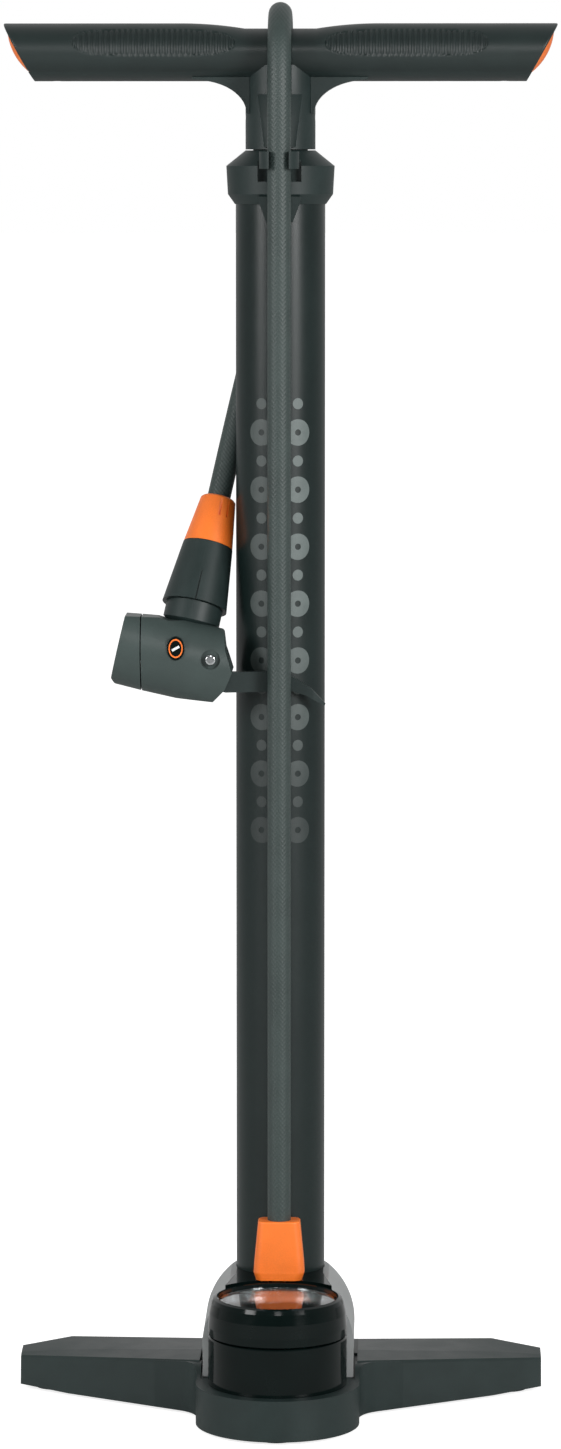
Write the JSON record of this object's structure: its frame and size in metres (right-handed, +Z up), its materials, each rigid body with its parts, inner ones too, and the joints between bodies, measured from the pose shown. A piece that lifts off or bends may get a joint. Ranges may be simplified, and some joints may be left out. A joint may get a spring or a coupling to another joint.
{
  "type": "floor bicycle pump",
  "caption": "Floor pump for bicycle tyres with a T handle, base gauge, clipped hose over the handle and a lever-locked pump head.",
  "frame": {"origin": "on the floor, under the axis of the barrel, on the flat face of the middle foot pad", "axes": "+Z up along the barrel, +X to the user's right along the handle, -Y towards the gauge and the hose at the front"},
  "size_m": [0.2474, 0.1364, 0.631],
  "materials": {
    "nylon_black": "fine spark-eroded texture, glass-filled nylon",
    "pad_rubber": "moulded rubber",
    "zinc_steel": "zinc plated",
    "shroud_grey": "fine-grained satin plastic",
    "die_cast": "die-cast",
    "brass": "turned",
    "spring_steel": "hardened",
    "orange_plastic": "smooth moulded",
    "painted_tube": "satin powder coat",
    "seal_rubber": "nitrile",
    "bush_plastic": "acetal",
    "hose_rubber": "smooth extruded rubber",
    "soft_grip": "soft-touch overmould",
    "gloss_black": "polished ABS",
    "chrome_trim": "polished",
    "clear_lens": "clear polycarbonate lens",
    "dial_white": "printed",
    "needle_orange": "painted",
    "chromed_rod": "hard chromed",
    "badge_black": "printed dome",
    "pin_steel": "polished rivet head"
  },
  "bodies": {
    "pump_body": {"foot": "nylon_black", "floor_pads": "pad_rubber", "base_screws": "zinc_steel", "base_shroud": "shroud_grey", "barrel_socket": "gloss_black", "air_block": "die_cast", "check_valve_spring": "spring_steel", "base_nipple": "brass", "base_boot": "orange_plastic", "barrel_tube": "painted_tube", "barrel_o_ring": "seal_rubber", "barrel_collar": "nylon_black", "rod_bush": "bush_plastic", "rod_wiper": "seal_rubber", "hose_clip": "nylon_black", "hose": "hose_rubber", "gauge_housing": "gloss_black", "gauge_bezel": "gloss_black", "gauge_trim_ring": "chrome_trim", "gauge_lens": "clear_lens", "gauge_dial": "dial_white", "gauge_movement": "brass", "movement_gear": "brass", "bourdon_tube": "brass", "gauge_socket": "brass", "head_cap": "nylon_black", "head_body": "nylon_black", "head_badge": "badge_black", "head_neck": "nylon_black", "head_sleeve": "nylon_black", "head_ferrule": "orange_plastic", "head_nipple": "brass", "head_gasket": "seal_rubber", "lever_pin": "pin_steel"},
    "handle": {"handle_core": "nylon_black", "grip_right": "soft_grip", "grip_left": "soft_grip", "end_cap_right": "orange_plastic", "end_cap_left": "orange_plastic", "handle_screws": "zinc_steel", "handle_pin": "spring_steel", "piston_rod": "chromed_rod", "piston_nut": "zinc_steel", "piston_head": "bush_plastic", "piston_seal": "seal_rubber", "piston_washer": "zinc_steel", "rod_bumper": "seal_rubber"},
    "needle": {"gauge_needle": "needle_orange"},
    "head_lever_body": {"head_lever": "nylon_black"},
    "plunger": {"head_plunger": "bush_plastic"},
    "poppet": {"check_valve_poppet": "brass"}
  },
  "joints": [
    {"name": "handle_stroke", "type": "slide", "parent": "pump_body", "child": "handle", "axis": [0, 0, 1], "range_m": [0, 0.46], "deforming": ["hose"]},
    {"name": "lever_swing", "type": "hinge", "parent": "pump_body", "child": "head_lever_body", "pos_m": [-0.0304, -0.022, 0.3404], "axis": [0, -1, 0], "range_deg": [0, 85]},
    {"name": "plunger_press", "type": "slide", "parent": "pump_body", "child": "plunger", "axis": [-0.9693, 0, 0.2459], "range_m": [0, 0.00029671]},
    {"name": "needle_turn", "type": "hinge", "parent": "pump_body", "child": "needle", "pos_m": [0, -0.0633, 0.05], "axis": [0, 0, -1], "range_deg": [0, 270], "stiffness_Nm_per_rad": 0.0001},
    {"name": "valve_lift", "type": "slide", "parent": "pump_body", "child": "poppet", "axis": [0, 0, 1], "range_m": [0, 0.0015], "stiffness_N_per_m": 200, "deforming": ["check_valve_spring"]}
  ],
  "couplings": [
    {"joint": "lever_swing", "follows": "plunger_press", "rad_per_m": 5000}
  ]
}
